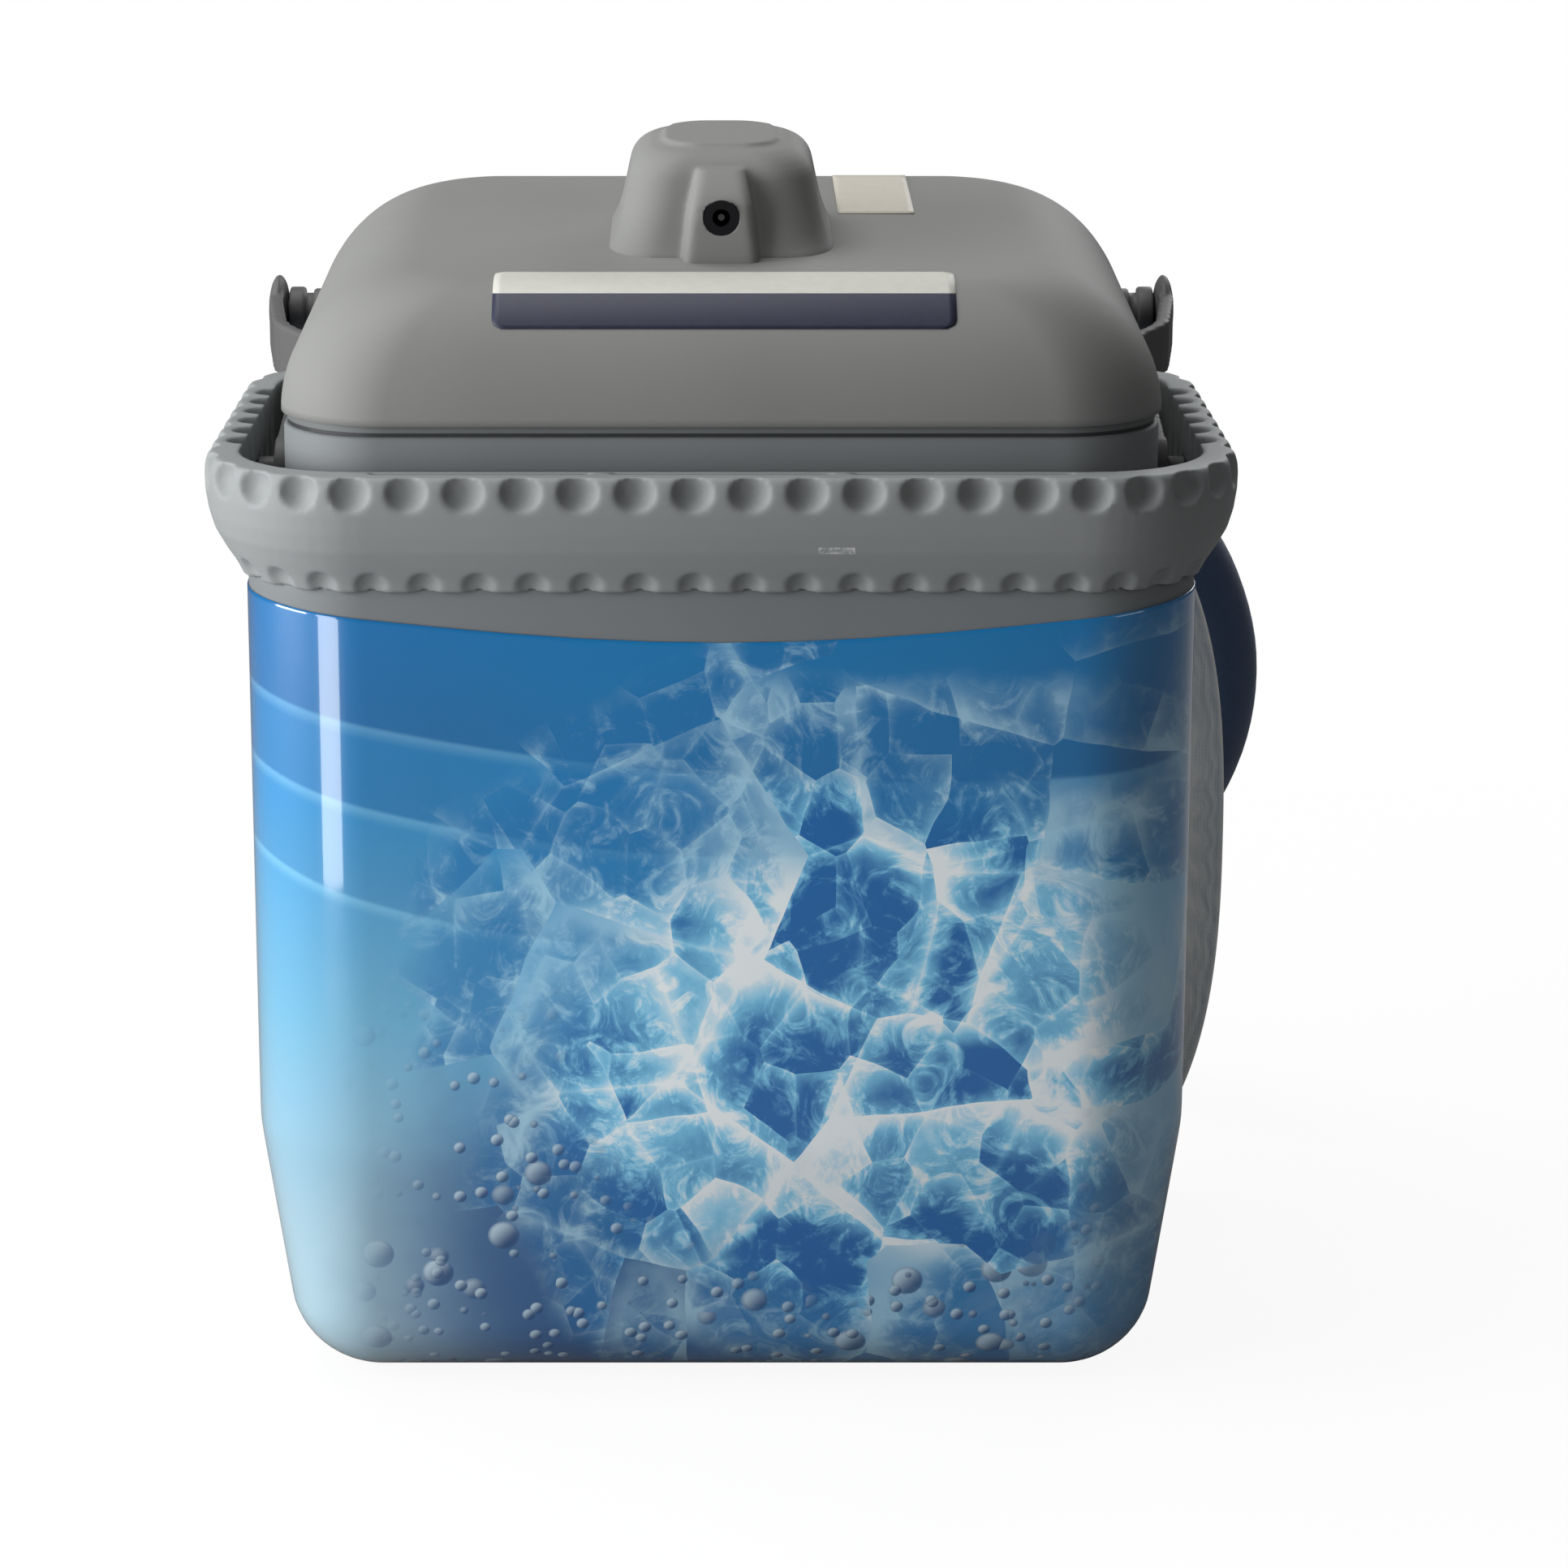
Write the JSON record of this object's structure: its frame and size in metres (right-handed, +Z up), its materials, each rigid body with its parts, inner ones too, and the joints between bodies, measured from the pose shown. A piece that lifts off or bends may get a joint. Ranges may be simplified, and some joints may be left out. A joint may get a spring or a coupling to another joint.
{
  "type": "hot cold therapy machine",
  "caption": "Insulated cold therapy cooler with a scalloped grip rim, a domed lid that carries the pump, a swing handle, an insulated hose and a cold pad.",
  "frame": {"origin": "on the floor under the middle of the cooler with its handle folded back, hose and pad left out", "axes": "+Z up, +X to the right seen from the front, -Y the front with the power jack"},
  "size_m": [0.3638, 0.5288, 0.4015],
  "materials": {
    "grey_plastic": "satin",
    "lid_plastic": "satin",
    "rim_plate_plastic": "satin",
    "printed_film": "gloss",
    "foam": "matt",
    "white_liner": "semi-gloss",
    "handle_plastic": "satin",
    "pin_plastic": "satin",
    "rubber": "matt",
    "white_plastic": "satin",
    "black_plastic": "semi-gloss",
    "dark_plastic": "satin",
    "steel": "brushed",
    "chrome": "polished",
    "circuit_green": "semi-gloss",
    "hose_foam": "matt",
    "button_plastic": "satin",
    "pad_cloth": "soft"
  },
  "bodies": {
    "base": {"outer_shell": "grey_plastic", "neck_collar": "grey_plastic", "graphic_film": "printed_film", "insulation_foam": "foam", "inner_liner": "white_liner", "grip_ring": "grey_plastic", "foot_1": "rubber", "foot_2": "rubber", "foot_3": "rubber", "foot_4": "rubber", "pivot_pin_left": "pin_plastic", "pivot_pin_right": "pin_plastic", "hose_run": "hose_foam", "coupling_body": "white_plastic", "pad_fitting": "white_plastic", "cold_pad": "pad_cloth"},
    "lid": {"lid_cover": "lid_plastic", "pump_housing": "lid_plastic", "lid_base": "rim_plate_plastic", "lid_foam": "foam", "lid_gasket": "rubber", "motor": "steel", "motor_bracket": "dark_plastic", "circuit_board": "circuit_green", "jack_body": "black_plastic", "jack_pin": "chrome", "jack_nut": "steel", "stem_tube": "white_plastic", "volute": "white_plastic", "strainer": "dark_plastic", "riser_tube": "white_plastic", "outlet_tube": "white_plastic", "hose_elbow": "rubber"},
    "rotor": {"drive_shaft": "steel", "impeller": "dark_plastic"},
    "handle": {"handle_arm_left": "handle_plastic", "handle_arm_right": "handle_plastic", "grip_core": "pin_plastic", "grip_sleeve": "handle_plastic"},
    "latch": {"latch_button": "button_plastic"}
  },
  "joints": [
    {"name": "lid_lift", "type": "slide", "parent": "base", "child": "lid", "axis": [0, 0, 1], "range_m": [0, 0.034]},
    {"name": "handle_swing", "type": "hinge", "parent": "base", "child": "handle", "pos_m": [0, -0.0285, 0.29], "axis": [-1, 0, 0], "range_deg": [-79, 0]},
    {"name": "impeller_spin", "type": "hinge", "parent": "lid", "child": "rotor", "pos_m": [0, -0.0305, 0.04], "axis": [0, 0, 1], "continuous": true},
    {"name": "latch_press", "type": "slide", "parent": "base", "child": "latch", "axis": [0, 0, -1], "range_m": [0, 0.0025], "stiffness_N_per_m": 600, "springref_m": -0.001}
  ]
}
